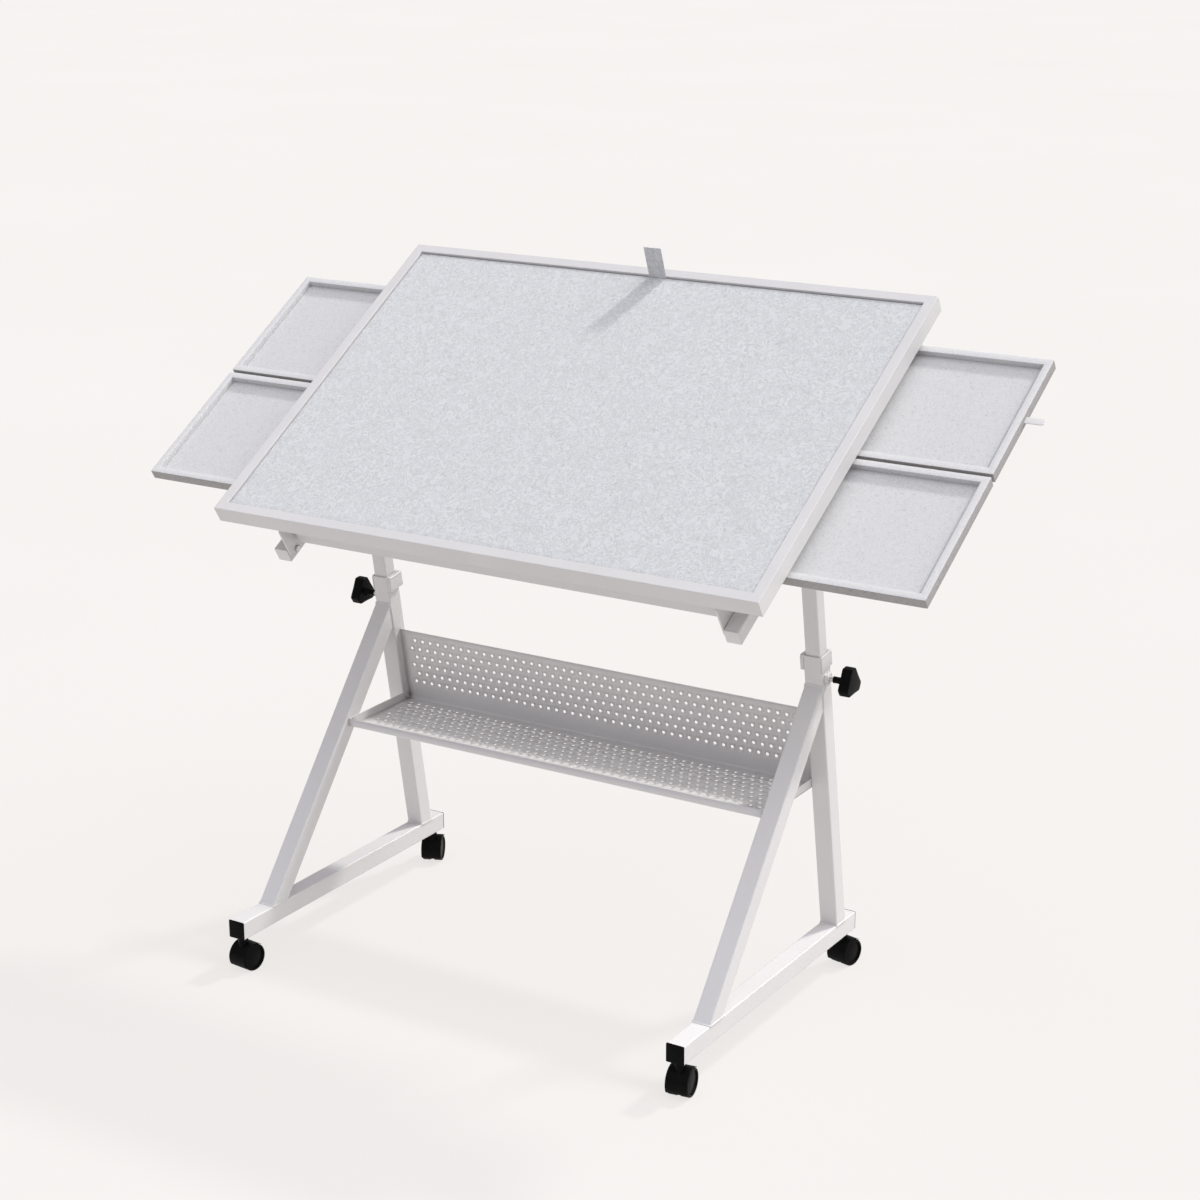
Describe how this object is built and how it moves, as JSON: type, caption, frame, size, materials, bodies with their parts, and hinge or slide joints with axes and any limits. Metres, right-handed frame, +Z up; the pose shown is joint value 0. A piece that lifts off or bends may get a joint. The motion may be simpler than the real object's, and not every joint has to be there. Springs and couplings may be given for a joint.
{
  "type": "tilting jigsaw puzzle table",
  "caption": "Tilting, height-adjustable puzzle table on casters: felt work surface in a raised rim, shallow trays that slide out at both sides, and a perforated shelf between the legs.",
  "frame": {"origin": "on the floor, midway between the four caster stems, in the table's plane of symmetry", "axes": "+X to the right as seen by someone sitting at the table, +Y to the back, +Z up"},
  "size_m": [1.418, 0.6977, 1.1237],
  "materials": {
    "white_steel": "satin white powder coat",
    "white_board": "white laminate on fibreboard",
    "grey_felt": "light grey mottled felt",
    "grey_tray": "light grey speckled laminate",
    "white_plastic": "moulded white",
    "black_plastic": "moulded black",
    "zinc_steel": "zinc plated"
  },
  "bodies": {
    "base": {"left_foot": "white_steel", "right_foot": "white_steel", "foot_end_caps": "black_plastic", "left_upright": "white_steel", "right_upright": "white_steel", "left_brace": "white_steel", "right_brace": "white_steel", "post_collars": "white_plastic", "shelf_floor": "white_steel", "shelf_back": "white_steel", "shelf_lip": "white_steel", "shelf_end_flanges": "white_steel", "shelf_bolts": "zinc_steel"},
    "left_knob": {"left_clamp_knob": "black_plastic", "left_clamp_stud": "zinc_steel"},
    "right_knob": {"right_clamp_knob": "black_plastic", "right_clamp_stud": "zinc_steel"},
    "posts": {"left_inner_post": "white_steel", "right_inner_post": "white_steel", "post_glides": "black_plastic", "hinge_forks": "white_steel", "pivot_bolts": "zinc_steel"},
    "board": {"front_rail": "white_board", "back_rail": "white_board", "left_rail": "white_board", "right_rail": "white_board", "base_panel": "white_board", "front_apron": "white_board", "rear_apron": "white_board", "left_carrier_tube": "white_steel", "right_carrier_tube": "white_steel", "carrier_end_caps": "white_plastic", "carrier_brackets": "white_steel", "bracket_bolts": "zinc_steel", "apron_screws": "zinc_steel", "front_runner": "white_steel", "middle_runner": "white_steel", "rear_runner": "white_steel"},
    "insert": {"insert_panel": "white_board", "felt_sheet": "grey_felt", "lift_tab": "grey_felt"},
    "tray_right_front": {"tray_right_front": "grey_tray"},
    "tray_right_rear": {"tray_right_rear": "grey_tray", "tray_pull_strip": "white_plastic"},
    "tray_left_front": {"tray_left_front": "grey_tray"},
    "tray_left_rear": {"tray_left_rear": "grey_tray"},
    "caster_front_left": {"caster_hood_front_left": "black_plastic", "caster_stem_front_left": "zinc_steel"},
    "wheels_front_left": {"caster_wheels_front_left": "black_plastic"},
    "caster_front_right": {"caster_hood_front_right": "black_plastic", "caster_stem_front_right": "zinc_steel"},
    "wheels_front_right": {"caster_wheels_front_right": "black_plastic"},
    "caster_back_left": {"caster_hood_back_left": "black_plastic", "caster_stem_back_left": "zinc_steel"},
    "wheels_back_left": {"caster_wheels_back_left": "black_plastic"},
    "caster_back_right": {"caster_hood_back_right": "black_plastic", "caster_stem_back_right": "zinc_steel"},
    "wheels_back_right": {"caster_wheels_back_right": "black_plastic"}
  },
  "joints": [
    {"name": "post_height", "type": "slide", "parent": "base", "child": "posts", "axis": [0, -0.1702, 0.9854], "range_m": [-0.2, 0.07]},
    {"name": "board_tilt", "type": "hinge", "parent": "posts", "child": "board", "pos_m": [0, 0.10345, 0.79949], "axis": [1, 0, 0], "range_deg": [-31.1, 13.9]},
    {"name": "insert_lift", "type": "slide", "parent": "board", "child": "insert", "axis": [0, -0.5165, 0.8563], "range_m": [0, 0.04]},
    {"name": "tray_right_front_slide", "type": "slide", "parent": "board", "child": "tray_right_front", "axis": [1, 0, 0], "range_m": [-0.209, 0.1]},
    {"name": "tray_right_rear_slide", "type": "slide", "parent": "board", "child": "tray_right_rear", "axis": [1, 0, 0], "range_m": [-0.209, 0.1]},
    {"name": "tray_left_front_slide", "type": "slide", "parent": "board", "child": "tray_left_front", "axis": [-1, 0, 0], "range_m": [-0.209, 0.1]},
    {"name": "tray_left_rear_slide", "type": "slide", "parent": "board", "child": "tray_left_rear", "axis": [-1, 0, 0], "range_m": [-0.209, 0.1]},
    {"name": "left_knob_turn", "type": "hinge", "parent": "base", "child": "left_knob", "pos_m": [-0.407, 0.15077, 0.52555], "axis": [-1, 0, 0], "continuous": true},
    {"name": "right_knob_turn", "type": "hinge", "parent": "base", "child": "right_knob", "pos_m": [0.407, 0.15077, 0.52555], "axis": [1, 0, 0], "continuous": true},
    {"name": "caster_front_left_swivel", "type": "hinge", "parent": "base", "child": "caster_front_left", "pos_m": [-0.407, -0.262, 0.06], "axis": [0, 0, 1], "continuous": true},
    {"name": "caster_front_left_roll", "type": "hinge", "parent": "caster_front_left", "child": "wheels_front_left", "pos_m": [-0.40616, -0.25404, 0.0225], "axis": [0.9945, -0.1045, 0], "continuous": true},
    {"name": "caster_front_right_swivel", "type": "hinge", "parent": "base", "child": "caster_front_right", "pos_m": [0.407, -0.262, 0.06], "axis": [0, 0, 1], "continuous": true},
    {"name": "caster_front_right_roll", "type": "hinge", "parent": "caster_front_right", "child": "wheels_front_right", "pos_m": [0.40589, -0.25408, 0.0225], "axis": [0.9903, 0.1392, 0], "continuous": true},
    {"name": "caster_back_left_swivel", "type": "hinge", "parent": "base", "child": "caster_back_left", "pos_m": [-0.407, 0.262, 0.06], "axis": [0, 0, 1], "continuous": true},
    {"name": "caster_back_left_roll", "type": "hinge", "parent": "caster_back_left", "child": "wheels_back_left", "pos_m": [-0.41025, 0.26931, 0.0225], "axis": [0.9135, 0.4067, 0], "continuous": true},
    {"name": "caster_back_right_swivel", "type": "hinge", "parent": "base", "child": "caster_back_right", "pos_m": [0.407, 0.262, 0.06], "axis": [0, 0, 1], "continuous": true},
    {"name": "caster_back_right_roll", "type": "hinge", "parent": "caster_back_right", "child": "wheels_back_right", "pos_m": [0.40866, 0.26983, 0.0225], "axis": [0.9781, -0.2079, 0], "continuous": true}
  ]
}
